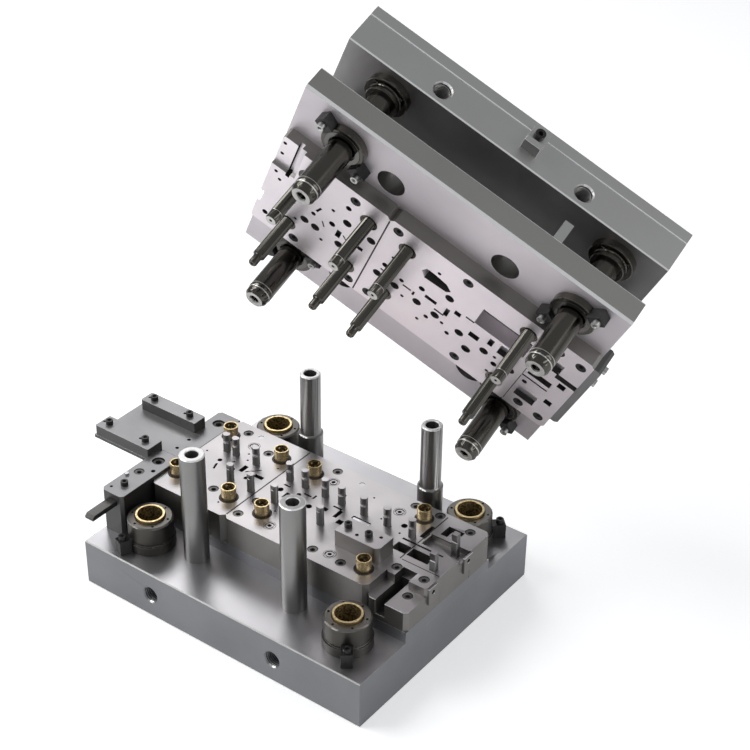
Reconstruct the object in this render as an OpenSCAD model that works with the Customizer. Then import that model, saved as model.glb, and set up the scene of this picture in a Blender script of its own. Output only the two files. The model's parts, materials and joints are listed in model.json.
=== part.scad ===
// Progressive fine blanking die set with a floating stripper.
// The lower half stands on z = 0 with its long side along X and its feed end at -X.
// The upper half is drawn in its closed place, then lifted and turned as it lies when opened.
// All sizes are in millimetres.

/* [Lower shoe] */
// Length of the lower shoe along X
shoe_length = 450; // [440:1:470]
// Width of the lower shoe along Y
shoe_width = 365; // [360:1:400]
// Thickness of the lower shoe
shoe_height = 68; // [64:1:76]
// Diameter of the tapped lifting holes, as drilled for M24
side_hole_d = 21; // [17:0.5:22]
// Depth of the tapped lifting holes
side_hole_depth = 40; // [25:1:60]
// Place of the left lifting hole in the lower shoe, along X
side_hole_left = -112; // [-115:1:-100]
// Place of the right lifting hole in the lower shoe, along X
side_hole_right = 90; // [85:1:100]

/* [Die stack] */
// Thickness of the backing plate
backing_height = 16; // [14:1:20]
// Thickness of the die plates
die_height = 42; // [40:1:46]
// Half the width of the die stack along Y
stack_half = 90; // [89:0.5:94]
// Left end of the left die plate
stack_left = -189.5; // [-190:0.5:-189]
// Parting line between the left and the middle die plate
parting_x = -65; // [-65.5:0.5:-64.5]
// Parting line between the middle die plate and the end blocks
end_parting_x = 164; // [163.5:0.5:164.5]
// Right end of the end blocks
stack_right = 225; // [224:0.5:225]
// Chamfer on the upright corners of the die plates
stack_chamfer = 6; // [3:0.5:7]
// Play around each punch in the die opening and in the stripper
punch_play = 0.3; // [0.25:0.05:0.4]

/* [Guide pillars] */
// Diameter of the four guide pillars
pillar_d = 32; // [31:0.5:32.5]
// Left pillar centres along X
pillar_left = -155; // [-156:0.5:-154]
// Right pillar centres along X
pillar_right = 167; // [166:0.5:168]
// How far the pillar centres lie outside the die stack, along Y
pillar_offset = 40; // [40:0.5:42]
// Height of the pillar tips over the floor with the die closed
pillar_tip = 44; // [40:1:50]
// Wall of the ball cages on the guide pillars
cage_wall = 2.9; // [2.5:0.1:3]
// Play of the ball cages against pillar and bush, on each side
cage_play = 0.3; // [0.25:0.05:0.35]

/* [Guide bushes] */
// Outside diameter of the outer guide bushes
bush_d = 60; // [57:0.5:61]
// Height of the outer guide bushes over the shoe
bush_rise = 42; // [38:1:44]
// Diameter of the foot ring of the outer guide bushes
bush_foot_d = 64; // [62:0.5:65]
// Height of the foot ring
bush_foot_height = 13; // [11:0.5:14]
// Outside diameter of the inner guide bushes
inner_bush_d = 26; // [25:0.5:27]
// Diameter of the inner guide pins
pin_d = 16; // [15:0.5:16.5]
// Wall of the inner ball cages
inner_cage_wall = 1.4; // [1.2:0.1:1.6]
// How far the inner ball cages stand out of the die plates
inner_cage_rise = 17; // [14:0.5:17]
// How far the outer ball cages stand out of their bushes
outer_cage_rise = 4; // [3:0.5:6]

/* [Stop posts] */
// Diameter of the front stop posts
front_post_d = 33; // [31:0.5:33]
// Diameter of the upper length of the back stop posts
back_post_d = 28; // [26:0.5:30]
// Height of the stop posts over the shoe
post_height = 161; // [150:1:161]
// How far the front stop posts stand outside the die stack, along Y
front_post_offset = 27; // [26:0.5:28]
// How far the back stop posts stand outside the die stack, along Y
back_post_offset = 29; // [28:0.5:30]
// Diameter of the screw well in the top of each stop post
post_well_d = 17; // [16.5:0.1:18]

/* [Stock lifters] */
// Diameter of the round stock lifters
lifter_d = 10; // [9:0.5:10]
// How far the stock lifters stand out of the die plates
lifter_rise = 27; // [24:0.5:28]
// Play of the stock lifters in their bores
lifter_play = 0.3; // [0.25:0.05:0.4]
// Stroke of the stock lifters
lifter_stroke = 20; // [18:0.5:20]

/* [Feed end] */
// Left end of the feed table
table_left = -325; // [-340:1:-315]
// Thickness of the feed table bed
table_bed = 5; // [4:0.5:6]
// Height of the stock rails over the bed
rail_height = 16; // [14:0.5:18]
// Width of the entry bar along X
bar_width = 36; // [36:0.5:38]
// How far the entry bar stands over the die plates
bar_rise = 5; // [4:0.5:8]
// Width of the finger stop
finger_width = 14; // [13:0.5:14.5]
// Thickness of the finger stop
finger_height = 7; // [6:0.5:7.5]
// Stroke of the finger stop
finger_stroke = 10; // [8:0.5:10]

/* [Upper half] */
// Air between the die plates and the stripper face with the die closed
strip_gap = 1; // [0.8:0.1:1.4]
// Thickness of the stripper inserts
insert_height = 21; // [20:0.5:24]
// Thickness of the stripper plate
stripper_height = 34; // [32:1:36]
// Air between stripper plate and punch plate with the die closed
upper_gap = 17.5; // [17:0.5:19]
// Thickness of the punch plate
punch_plate_height = 30; // [28:1:32]
// Thickness of the top shoe
top_shoe_height = 46; // [46:1:52]
// Thickness of the top plate
top_plate_height = 16; // [16:0.5:20]
// Width of the top shoe along Y
top_width = 340; // [336:1:350]
// Width of the stripper plate along Y
stripper_width = 350; // [344:1:356]
// Free travel of the stripper plate against its gas springs
stripper_travel = 10; // [8:0.5:10]

/* [Opened position] */
// Lift of the stripper before the upper half is turned
open_height = 100; // [100:1:110]
// Angle by which the lifted upper half is turned
turn_angle = 76.7; // [76.7:0.1:76.7]

/* [Hidden] */
steel = [0.55, 0.56, 0.58];
ground = [0.66, 0.63, 0.64];
dark = [0.17, 0.17, 0.17];
oiled = [0.33, 0.32, 0.29];
bronze = [0.72, 0.58, 0.33];
turn_axis = [-0.903, 0.221, 0.369];
turn_pivot = [144.3, 171.9, 250.3];

half_length = shoe_length / 2;
half_width = shoe_width / 2;
die_base = shoe_height + backing_height;
die_top = die_base + die_height;
face_z = die_top + strip_gap;
stripper_z = face_z + insert_height;
stripper_top = stripper_z + stripper_height;
punch_plate_z = stripper_top + upper_gap;
top_shoe_z = punch_plate_z + punch_plate_height;
top_plate_z = top_shoe_z + top_shoe_height;
lid_z = top_plate_z + top_plate_height;
post_top = shoe_height + post_height;

pillar_y = stack_half + pillar_offset;
pillar_spots = [for (y = [-pillar_y, pillar_y]) for (x = [pillar_left, pillar_right]) [x, y]];
lower_clamp_turns = [-111, -54, 135, 45];
upper_clamp_turns = [36, 132, 144, 47];
front_posts_at = [for (x = [-88, 73]) [x, -stack_half - front_post_offset]];
back_posts_at = [for (x = [-88, 111]) [x, stack_half + back_post_offset]];
front_pins_at = [[-175, -54], [-86, -54], [-30, -54], [141, -64]];
back_pins_at = [[-175, 54], [-86, 54], [-30, 54], [141, 64]];
pins_at = concat(front_pins_at, back_pins_at);
back_lifters_at = [for (x = [-157, -141, -106, -48, -22, 11, 38, 74, 111, 150]) [x, 25]];
front_lifters_at = [for (x = [-108, -73, -33, 42]) [x, -25]];
end_lifters_at = [[210, -13], [210, 34]];
lifters_at = concat(back_lifters_at, front_lifters_at);
round_punches_at = [[-150, 2, 6], [-124, -4, 8], [-96, -8, 6], [-44, 0, 8], [-18, 6, 6],
    [8, -6, 8], [30, 40, 6], [62, 42, 6], [130, 36, 8]];
shaped_punches_at = [[-112, 6, 6, 14], [-84, 4, 14, 6], [-30, -6, 5, 12], [24, 2, 16, 6],
    [48, 4, 5, 16], [60, -8, 8, 8], [112, 0, 6, 14], [182, 14.5, 36, 2.4]];
die_screws_at = [[-160, 73], [-108, 53], [-114, -52], [-52, -38], [-54, -73], [67, -72],
    [111, -72], [-9, 77], [117, 79], [154, 81]];
end_screws_at = [[205, -60, 113], [171, -36, 126], [212, -36, 126], [204, 76, 126]];
ring_plugs_at = [[-134, 54], [-6, -68], [90, -67], [1, 55], [108, 56]];
dowels_at = [[-140, 76], [-120, -76], [34, 74], [34, -76], [192, 54]];
raised_screws_at = [[93, -33], [125, -33]];
rail_screws_at = [[-309, -42], [-243, -42], [-301, 39], [-236, 39]];
bar_pin_at = [-220, -103];
stop_screw_at = [-207, -121];
slits_at = [[-146, -12, 3, 12, 20], [-134, 8, 2, 10, -30], [-98, 10, 2, 22, -45], [-90, -6, 10, 2, 0],
    [-42, 12, 10, 3, 0], [-8, 12, 12, 3, 0], [2, 14, 3, 8, 0], [40, 14, 14, 3, 0], [76, -14, 12, 3, 0]];
spools_at = [[-110, -72], [-110, 72], [60, -72], [60, 72]];
gas_springs_at = [[-145, -72], [-145, 72], [15, -70], [15, 70], [105, -68], [105, 68], [190, -60], [190, 60]];
punch_screws_at = [[-168, -22], [-168, 22], [-60, -34], [-60, 34], [78, -42], [38, 56], [172, -30], [172, 34]];
insert_screws_at = [[-111, -74], [-160, 76], [-76, 76], [-50, -76], [-47, 76], [50, -76], [86, 76], [182, -72],
    [212, -72], [182, 74], [212, 74]];
top_screws_at = [for (x = [-205, 0, 205]) for (y = [20 - top_width / 2, top_width / 2 - 20]) [x, y]];
rod_at = [92, 46];

pillar_bore = pillar_d + 2 * cage_play + 2 * cage_wall + 2 * cage_play;
cage_in = pillar_d + 2 * cage_play;
cage_out = cage_in + 2 * cage_wall;
inner_cage_in = pin_d + 2 * cage_play;
inner_cage_out = inner_cage_in + 2 * inner_cage_wall;
inner_bore = inner_cage_out + 2 * cage_play;
spigot_d = 52;
spigot_depth = 30;
shoe_way_d = pillar_bore + 3;
pin_way_d = inner_bore + 1;
lifter_foot = die_base + 11;
lifter_collar = 4;
collar_d = lifter_d + 2.6;
collar_bore = collar_d + 0.9;
spring_seat = 20;
stripper_bush_d = 46;
stripper_flange_d = 58;
stripper_flange = 10;
pin_sleeve_d = pin_d + 8;
window = [82, 153, -51, -15];
window_top = stripper_z + 10;
rod_d = 12;
rod_bore = rod_d + 0.8;
spool_d = 16;
spool_head = 10;
spool_under = top_shoe_z + 26;
gas_body_d = 25;
gas_rod_d = 12;
insert_left = -half_length + 3;
bar_left = stack_left - bar_width;
rail_end = bar_left + 8;

// Cap screw sizes by thread diameter
function head_of(d) = d <= 4 ? 7 : d <= 5 ? 8.5 : d <= 6 ? 10 : d <= 8 ? 13 : d <= 10 ? 16 : 18;
function key_of(d) = (d <= 4 ? 3 : d <= 5 ? 4 : d <= 6 ? 5 : d <= 8 ? 6 : d <= 10 ? 8 : 10) / cos(30);
// Outline corner, cut by c when c is over zero
function cut_corner(x, y, c, sx, sy) = c > 0 ? (sx * sy > 0 ? [[x, y - sy * c], [x - sx * c, y]]
    : [[x - sx * c, y], [x, y - sy * c]]) : [[x, y]];

module slab(x0, x1, y0, y1, z0, z1) {
    translate([x0, y0, z0]) cube([x1 - x0, y1 - y0, z1 - z0]);
}

// Upright round of diameter d from z0 to z1
module disc(p, d, z0, z1, fn = 40) {
    translate([p[0], p[1], z0]) cylinder(d = d, h = z1 - z0, $fn = fn);
}

// Upright box of size wx by wy about a point
module post_box(p, wx, wy, z0, z1) {
    translate([p[0], p[1], (z0 + z1) / 2]) cube([wx, wy, z1 - z0], center = true);
}

// Block with cut upright corners: front left, front right, back right, back left
module cut_block(x0, x1, y0, y1, z0, z1, c) {
    translate([0, 0, z0]) linear_extrude(z1 - z0) polygon([
        for (q = cut_corner(x0, y0, c[0], -1, -1)) q,
        for (q = cut_corner(x1, y0, c[1], 1, -1)) q,
        for (q = cut_corner(x1, y1, c[2], 1, 1)) q,
        for (q = cut_corner(x0, y1, c[3], -1, 1)) q]);
}

// Long plate whose four long edges are chamfered by c
module edge_plate(x0, x1, y0, y1, z0, z1, c) {
    translate([x0, 0, 0]) rotate([90, 0, 90]) linear_extrude(x1 - x0) polygon([
        [y0 + c, z0], [y1 - c, z0], [y1, z0 + c], [y1, z1 - c],
        [y1 - c, z1], [y0 + c, z1], [y0, z1 - c], [y0, z0 + c]]);
}

// Socket cap screw with its head upwards, z under the head
module cap_screw(p, z, d, length) {
    translate([p[0], p[1], z]) difference() {
        union() {
            cylinder(d = head_of(d), h = d, $fn = 32);
            translate([0, 0, -length]) cylinder(d = d, h = length + d / 4, $fn = 24);
        }
        translate([0, 0, d * 0.45]) cylinder(d = key_of(d), h = d, $fn = 6);
    }
}

// The same screw with its head downwards
module cap_screw_down(p, z, d, length) {
    translate([p[0], p[1], z]) rotate([180, 0, 0]) cap_screw([0, 0], 0, d, length);
}

// Moves a piece of the upper half from its closed place to its opened place
module opened(rise) {
    translate(turn_pivot) rotate(a = turn_angle, v = turn_axis) translate(-turn_pivot)
        translate([0, 0, rise]) children();
}

// Holes shared by the die plates, the backing plate and the shoe
module die_openings() {
    for (p = pins_at) disc(p, inner_bush_d, shoe_height - 1, die_top + 1);
    for (p = lifters_at) {
        disc(p, lifter_d + 2 * lifter_play, die_base + 2, die_top + 1, 32);
        disc(p, collar_bore, die_base - 1, lifter_foot + lifter_collar + 0.3, 32);
    }
    for (p = end_lifters_at) {
        post_box(p, 8 + 2 * lifter_play, 8 + 2 * lifter_play, die_base + 2, die_top + 1);
        disc(p, collar_bore, die_base - 1, lifter_foot + lifter_collar + 0.3, 32);
    }
    for (p = round_punches_at) disc(p, p[2] + 2 * punch_play, die_base - 1, die_top + 1, 24);
    for (p = shaped_punches_at)
        post_box(p, p[2] + 2 * punch_play, p[3] + 2 * punch_play, die_base - 1, die_top + 1);
    for (p = die_screws_at) {
        disc(p, 8, die_base - 1, die_top + 1, 24);
        disc(p, 14, die_top - 9, die_top + 1, 32);
    }
    for (p = end_screws_at) {
        disc(p, 8, die_base - 1, die_top + 1, 24);
        disc(p, 14, p[2] - 9, die_top + 1, 32);
    }
    for (p = ring_plugs_at) disc(p, 16, die_top - 14, die_top + 1, 32);
    for (p = dowels_at) disc(p, 8, die_base - 1, die_top + 1, 24);
    for (p = raised_screws_at) disc(p, 6, die_top - 16, die_top + 1, 24);
    for (s = slits_at) translate([s[0], s[1], die_top - 12]) rotate(s[4])
        translate([-s[2] / 2, -s[3] / 2, 0]) cube([s[2], s[3], 13]);
}

// Slug and spring ways below the die plates
module lower_ways(z0, z1) {
    for (p = round_punches_at) disc(p, p[2] + 3, z0, z1, 24);
    for (p = shaped_punches_at) post_box(p, p[2] + 2, p[3] + 2, z0, z1);
}

module lower_shoe() {
    color(steel) difference() {
        edge_plate(-half_length, half_length, -half_width, half_width, 0, shoe_height, 1.5);
        for (p = pillar_spots) {
            disc(p, shoe_way_d, -1, shoe_height + 1, 64);
            disc(p, spigot_d, shoe_height - spigot_depth, shoe_height + 1, 64);
        }
        for (p = pins_at) disc(p, pin_way_d, -1, shoe_height + 1);
        for (p = concat(lifters_at, end_lifters_at)) disc(p, collar_bore, spring_seat, shoe_height + 1, 32);
        lower_ways(-1, shoe_height + 1);
        for (p = concat(die_screws_at, end_screws_at)) disc(p, 8, shoe_height - 16, shoe_height + 1, 24);
        for (p = concat(front_posts_at, back_posts_at)) disc(p, 10, shoe_height - 20, shoe_height + 1, 24);
        for (i = [0:3]) translate([pillar_spots[i][0], pillar_spots[i][1], 0])
            rotate(lower_clamp_turns[i]) disc([41, 0], 6, shoe_height - 12, shoe_height + 1, 24);
        for (x = [side_hole_left, side_hole_right]) translate([x, -half_width, shoe_height / 2])
            rotate([90, 0, 0]) {
                translate([0, 0, -side_hole_depth]) cylinder(d = side_hole_d, h = side_hole_depth + 1, $fn = 48);
                translate([0, 0, -2]) cylinder(d1 = side_hole_d, d2 = side_hole_d + 6, h = 3, $fn = 48);
            }
        disc([-212, -88], 8, shoe_height - 16, shoe_height + 1, 24);
        for (y = [-55, 66]) disc([-208, y], 10, shoe_height - 20, shoe_height + 1, 24);
    }
}

module backing_plate() {
    color(steel) difference() {
        slab(stack_left, stack_right, -stack_half, stack_half, shoe_height, die_base);
        for (p = pins_at) disc(p, inner_bush_d, shoe_height - 1, die_base + 1);
        for (p = concat(lifters_at, end_lifters_at)) disc(p, collar_bore, shoe_height - 1, die_base + 1, 32);
        lower_ways(shoe_height - 1, die_base + 1);
        for (p = concat(die_screws_at, end_screws_at)) disc(p, 8, shoe_height - 1, die_base + 1, 24);
        for (p = dowels_at) disc(p, 8, die_base - 8, die_base + 1, 24);
    }
}

module left_die_plate() {
    color(ground) difference() {
        cut_block(stack_left, parting_x, -stack_half, stack_half, die_base, die_top,
            [stack_chamfer, stack_chamfer, 0, stack_chamfer]);
        die_openings();
        for (p = [[-178, 8], [-168, 36], [-128, 36], [-120, 24], [-76, 34], [-172, -22], [-90, -70]])
            disc(p, 3, die_top - 10, die_top + 1, 16);
    }
}

module middle_die_plate() {
    color(ground) difference() {
        cut_block(parting_x, end_parting_x, -stack_half, stack_half, die_base, die_top,
            [stack_chamfer, stack_chamfer, 0, 0]);
        die_openings();
        slab(66, 94, -5, 14, die_top - 20, die_top + 1);
        slab(143, end_parting_x + 1, 12.9, 16.1, die_top - 14, die_top + 1);
        slab(157.5, end_parting_x + 1, 30, 57, die_top - 14, die_top + 1);
        slab(143, end_parting_x + 1, -10, 6, die_top - 14, die_top + 1);
        for (p = [[-20, -40], [20, -45], [64, 60], [134, 20], [98, 30], [-58, 40]])
            disc(p, 3, die_top - 10, die_top + 1, 16);
    }
}

module die_insert() {
    color([0.85, 0.85, 0.86]) slab(68, 94, -5, 12, die_top - 20, die_top);
}

module end_front_block() {
    color(ground) difference() {
        cut_block(end_parting_x, stack_right, -stack_half, -20, die_base, 113, [5, 5, 0, 0]);
        slab(178, 192, -stack_half - 1, -34, 92, 114);
        die_openings();
    }
}

module end_bridge_plate() {
    color(ground) difference() {
        cut_block(end_parting_x, stack_right, -50, -20, 113, die_top, [3, 3, 0, 0]);
        slab(178, 199, -51, -31, 112, die_top + 1);
        die_openings();
    }
}

module end_centre_block() {
    color(ground) difference() {
        slab(end_parting_x, stack_right, -20, 43, die_base, die_top);
        slab(168, stack_right + 1, 20, 44, die_top - 8, die_top + 1);
        slab(166, 198, -10, 6, die_top - 16, die_top + 1);
        slab(end_parting_x - 1, 205, 12.9, 16.1, die_top - 30, die_top + 1);
        slab(end_parting_x - 1, 166, 30, 44, die_top - 14, die_top + 1);
        die_openings();
    }
}

module end_back_block() {
    color(ground) difference() {
        cut_block(end_parting_x, stack_right, 43, stack_half, die_base, die_top, [0, 3, 5, 0]);
        slab(176, 186, 50, 70, die_top - 18, die_top + 1);
        slab(176, 200, 62, 70, die_top - 12, die_top + 1);
        die_openings();
    }
}

module end_covers() {
    color(steel) for (y = [-38, 38]) difference() {
        slab(stack_right, stack_right + 3, y - 9, y + 9, die_top - 26, die_top - 2);
        translate([stack_right - 1, y, die_top - 10]) rotate([0, 90, 0]) cylinder(d = 6, h = 5, $fn = 24);
    }
}

module die_screws() {
    color(dark) {
        for (p = die_screws_at) cap_screw(p, die_top - 9, 8, die_top - 9 - shoe_height + 15);
        for (p = end_screws_at) cap_screw(p, p[2] - 9, 8, p[2] - 9 - shoe_height + 15);
        cap_screw([-212, -88], die_top + bar_rise - 9, 8, die_top + bar_rise - 9 - shoe_height + 15);
    }
}

module ring_plugs() {
    color(steel) for (p = ring_plugs_at) difference() {
        disc(p, 16, die_top - 14, die_top, 32);
        difference() {
            disc(p, 13, die_top - 1.5, die_top + 1, 32);
            disc(p, 9.5, die_top - 2, die_top + 2, 32);
        }
        disc(p, 5.8, die_top - 4, die_top + 1, 6);
    }
}

module die_dowels() {
    color(steel) {
        for (p = dowels_at) disc(p, 8, die_base - 8, die_top - 0.5, 24);
        disc(bar_pin_at, 6, die_top - 20, die_top + bar_rise + 3, 24);
    }
}

module raised_block() {
    color(ground) difference() {
        union() {
            slab(84, 143, -49, -17, die_top, die_top + 24);
            slab(142, 151, -41, -17, die_top, die_top + 24);
            disc([143, -41], 16, die_top, die_top + 24);
        }
        for (p = raised_screws_at) disc(p, 6, die_top - 1, die_top + 25, 24);
        for (p = [[112, -40], [139, -26]]) disc(p, 5, die_top + 12, die_top + 25, 24);
    }
}

module entry_bar() {
    top = die_top + bar_rise;
    slot_z = die_top - 12;
    color(ground) difference() {
        cut_block(bar_left, stack_left, -145, stack_half, shoe_height, top, [4, 4, 0, 4]);
        slab(bar_left - 1, stack_left + 1, -36, stack_half + 1, die_top, top + 1);
        slab(bar_left - 1, -205, -28, 28, die_top - table_bed, top + 1);
        slab(stop_screw_at[0] - finger_width / 2 - 0.3, stop_screw_at[0] + finger_width / 2 + 0.3, -146, -94.5,
            slot_z - 0.3, slot_z + finger_height + 0.3);
        disc(stop_screw_at, 6, slot_z - 14, top + 1, 24);
        disc(bar_pin_at, 6, die_top - 20, top + 1, 24);
        disc([-218, -134], 4, top - 8, top + 1, 16);
        disc([-198, -76], 6, top - 10, top + 1, 24);
        disc([-212, -88], 8, shoe_height - 1, top + 1, 24);
        disc([-212, -88], 14, top - 9, top + 1, 32);
        disc([-208, -55], 10, shoe_height - 1, top + 1, 24);
        disc([-208, -55], 17, top - 12, top + 1, 32);
        disc([-208, 66], 10, shoe_height - 1, top + 1, 24);
        disc([-208, 66], 17, die_top - 12, top + 1, 32);
    }
}

module finger_stop() {
    slot_z = die_top - 12;
    color(dark) difference() {
        slab(stop_screw_at[0] - finger_width / 2, stop_screw_at[0] + finger_width / 2, -188, -105,
            slot_z, slot_z + finger_height);
        for (y = [stop_screw_at[1] - finger_stroke, stop_screw_at[1]])
            disc([stop_screw_at[0], y], 6.8, slot_z - 1, slot_z + finger_height + 1, 32);
        slab(stop_screw_at[0] - 3.4, stop_screw_at[0] + 3.4, stop_screw_at[1] - finger_stroke, stop_screw_at[1],
            slot_z - 1, slot_z + finger_height + 1);
        translate([stop_screw_at[0], -188, slot_z + finger_height]) rotate([45, 0, 0])
            cube([finger_width + 2, 5, 5], center = true);
    }
}

module feed_table() {
    color(steel) difference() {
        union() {
            slab(table_left, bar_left, -56, 50, die_top - table_bed, die_top);
            slab(bar_left - 1, -205, -27.8, 27.8, die_top - table_bed, die_top);
        }
        for (p = rail_screws_at) disc(p, 6, die_top - table_bed - 1, die_top + 1, 24);
        for (y = [-12, 12]) disc([-214, y], 5, die_top - table_bed - 1, die_top + 1, 24);
    }
}

module rail(x0, x1, y0, y1, spots) {
    color(ground) difference() {
        cut_block(x0, x1, y0, y1, die_top, die_top + rail_height, [1, 1, 1, 1]);
        for (p = spots) {
            disc(p, 6, die_top - 1, die_top + rail_height + 1, 24);
            disc([p[0] - 9, p[1]], 4, die_top + rail_height - 6, die_top + rail_height + 1, 16);
            slab(p[0] - 9, p[0] - 4, p[1] - 1, p[1] + 1, die_top + rail_height - 3, die_top + rail_height + 1);
        }
    }
}

module front_rail() {
    rail(table_left + 3, bar_left, -56, -28, [rail_screws_at[0], rail_screws_at[1]]);
}

module back_rail() {
    rail(table_left + 9, rail_end, 28, 50, [rail_screws_at[2], rail_screws_at[3]]);
}

// Identical M6 cap screws of the rails, the raised block, the stop and the bush clamps
module m6_screws() {
    color(dark) {
        for (p = rail_screws_at) cap_screw(p, die_top + rail_height, 6, rail_height + table_bed);
        for (p = raised_screws_at) cap_screw(p, die_top + 24, 6, 39);
        cap_screw(stop_screw_at, die_top + bar_rise, 6, bar_rise + 25);
        for (i = [0:3]) translate([pillar_spots[i][0], pillar_spots[i][1], 0])
            rotate(lower_clamp_turns[i]) cap_screw([41, 0], shoe_height + 20, 6, 31);
    }
}

// Guide bush with foot ring, neck groove and a spigot let into the shoe
module outer_bushes() {
    zf = shoe_height + bush_foot_height;
    zt = shoe_height + bush_rise;
    color(oiled) for (p = pillar_spots) translate([p[0], p[1], 0]) difference() {
        rotate_extrude($fn = 64) polygon([
            [pillar_bore / 2, shoe_height - spigot_depth], [spigot_d / 2, shoe_height - spigot_depth],
            [spigot_d / 2, shoe_height], [bush_foot_d / 2, shoe_height], [bush_foot_d / 2, zf],
            [bush_d / 2, zf], [bush_d / 2, zf + 1.5], [bush_d / 2 - 1.5, zf + 1.5],
            [bush_d / 2 - 1.5, zf + 3.5], [bush_d / 2, zf + 3.5], [bush_d / 2, zt - 2],
            [bush_d / 2 - 2, zt], [pillar_bore / 2 + 1, zt], [pillar_bore / 2, zt - 1]]);
        for (a = [0:60:300]) rotate(a + 20) disc([24.5, 0], 3.4, zt - 4, zt + 1, 16);
    }
}

module outer_ball_cages() {
    z1 = shoe_height + bush_rise + outer_cage_rise;
    color(bronze) for (p = pillar_spots) difference() {
        disc(p, cage_out, z1 - 60, z1, 64);
        disc(p, cage_in, z1 - 61, z1 + 1, 64);
    }
}

module lower_clamps() {
    color(dark) for (i = [0:3]) translate([pillar_spots[i][0], pillar_spots[i][1], shoe_height])
        rotate(lower_clamp_turns[i]) difference() {
            slab(20, 48, -7.5, 7.5, 0, 20);
            disc([0, 0], bush_foot_d, -1, bush_foot_height, 64);
            disc([0, 0], bush_d, -1, 21, 64);
            disc([41, 0], 6, -1, 21, 24);
        }
}

module inner_bushes() {
    color(oiled) for (p = pins_at) difference() {
        disc(p, inner_bush_d, shoe_height, die_top + 0.6, 48);
        disc(p, inner_bore, shoe_height - 1, die_top + 2, 48);
    }
}

// Ball cages with two rows of ball pockets above the die plates
module inner_ball_cages() {
    z1 = die_top + inner_cage_rise;
    color(bronze) for (p = pins_at) difference() {
        disc(p, inner_cage_out, z1 - 50, z1, 48);
        disc(p, inner_cage_in, z1 - 51, z1 + 1, 48);
        for (k = [0:1]) for (a = [0:60:120]) translate([p[0], p[1], z1 - 4.5 - 6 * k])
            rotate([90, 0, a + 30 * (k % 2)]) cylinder(d = 2.6, h = 2 * inner_cage_out, center = true, $fn = 16);
    }
}

module lifter_body(p, side) {
    top = die_top + lifter_rise;
    difference() {
        union() {
            disc(p, lifter_d, lifter_foot, top, 32);
            disc(p, collar_d, lifter_foot, lifter_foot + lifter_collar, 32);
        }
        translate([p[0], p[1] + side * lifter_d / 2, top - 11])
            cube([lifter_d + 2, 6, 4], center = true);
        translate([p[0], p[1] - side * lifter_d / 2, top - 2])
            cube([lifter_d + 2, 2.4, 9], center = true);
    }
}

module lifters() {
    color(steel) {
        for (p = back_lifters_at) lifter_body(p, -1);
        for (p = front_lifters_at) lifter_body(p, 1);
    }
}

module end_lifters() {
    top = die_top + lifter_rise;
    color(steel) for (p = end_lifters_at) difference() {
        union() {
            post_box(p, 8, 8, lifter_foot, top);
            disc(p, collar_d, lifter_foot, lifter_foot + lifter_collar, 32);
        }
        post_box([p[0], p[1] - 4], 10, 3, top - 12, top - 8);
    }
}

module lifter_springs() {
    color([0.75, 0.3, 0.12]) for (p = concat(lifters_at, end_lifters_at)) difference() {
        disc(p, collar_d - 0.4, spring_seat, lifter_foot, 32);
        disc(p, 5, spring_seat - 1, lifter_foot + 1, 24);
    }
}

module stop_post(p, d, foot_d, foot_height) {
    well = shoe_height + 32;
    translate([p[0], p[1], 0]) rotate_extrude($fn = 64) polygon([
        [5, shoe_height], [foot_d / 2, shoe_height], [foot_d / 2, shoe_height + foot_height],
        [d / 2, shoe_height + foot_height + (foot_d - d) / 2], [d / 2, post_top - 1.5], [d / 2 - 1.5, post_top],
        [post_well_d / 2 + 1, post_top], [post_well_d / 2, post_top - 1], [post_well_d / 2, well], [5, well]]);
}

module front_posts() {
    color(steel) for (p = front_posts_at) translate([p[0], p[1], 0]) rotate_extrude($fn = 64) polygon([
        [5, shoe_height], [front_post_d / 2, shoe_height], [front_post_d / 2, post_top - 1.5],
        [front_post_d / 2 - 1.5, post_top], [post_well_d / 2 + 1, post_top],
        [post_well_d / 2, post_top - 1], [post_well_d / 2, shoe_height + 32], [5, shoe_height + 32]]);
}

module back_posts() {
    color(steel) for (p = back_posts_at) stop_post(p, back_post_d, back_post_d + 6, 66);
}

// Identical M10 cap screws of the stop posts and the entry bar
module m10_screws() {
    color(dark) {
        for (p = concat(front_posts_at, back_posts_at)) cap_screw(p, shoe_height + 32, 10, 51);
        cap_screw([-208, -55], die_top + bar_rise - 12, 10, die_top + bar_rise - 12 - shoe_height + 19);
        cap_screw([-208, 66], die_top - 12, 10, die_top - 12 - shoe_height + 19);
    }
}

// Upper half, shared openings in closed place
module upper_openings(play, z0, z1) {
    for (p = round_punches_at) disc(p, p[2] + 2 * play, z0, z1, 24);
    for (p = shaped_punches_at) post_box(p, p[2] + 2 * play, p[3] + 2 * play, z0, z1);
}

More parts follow.
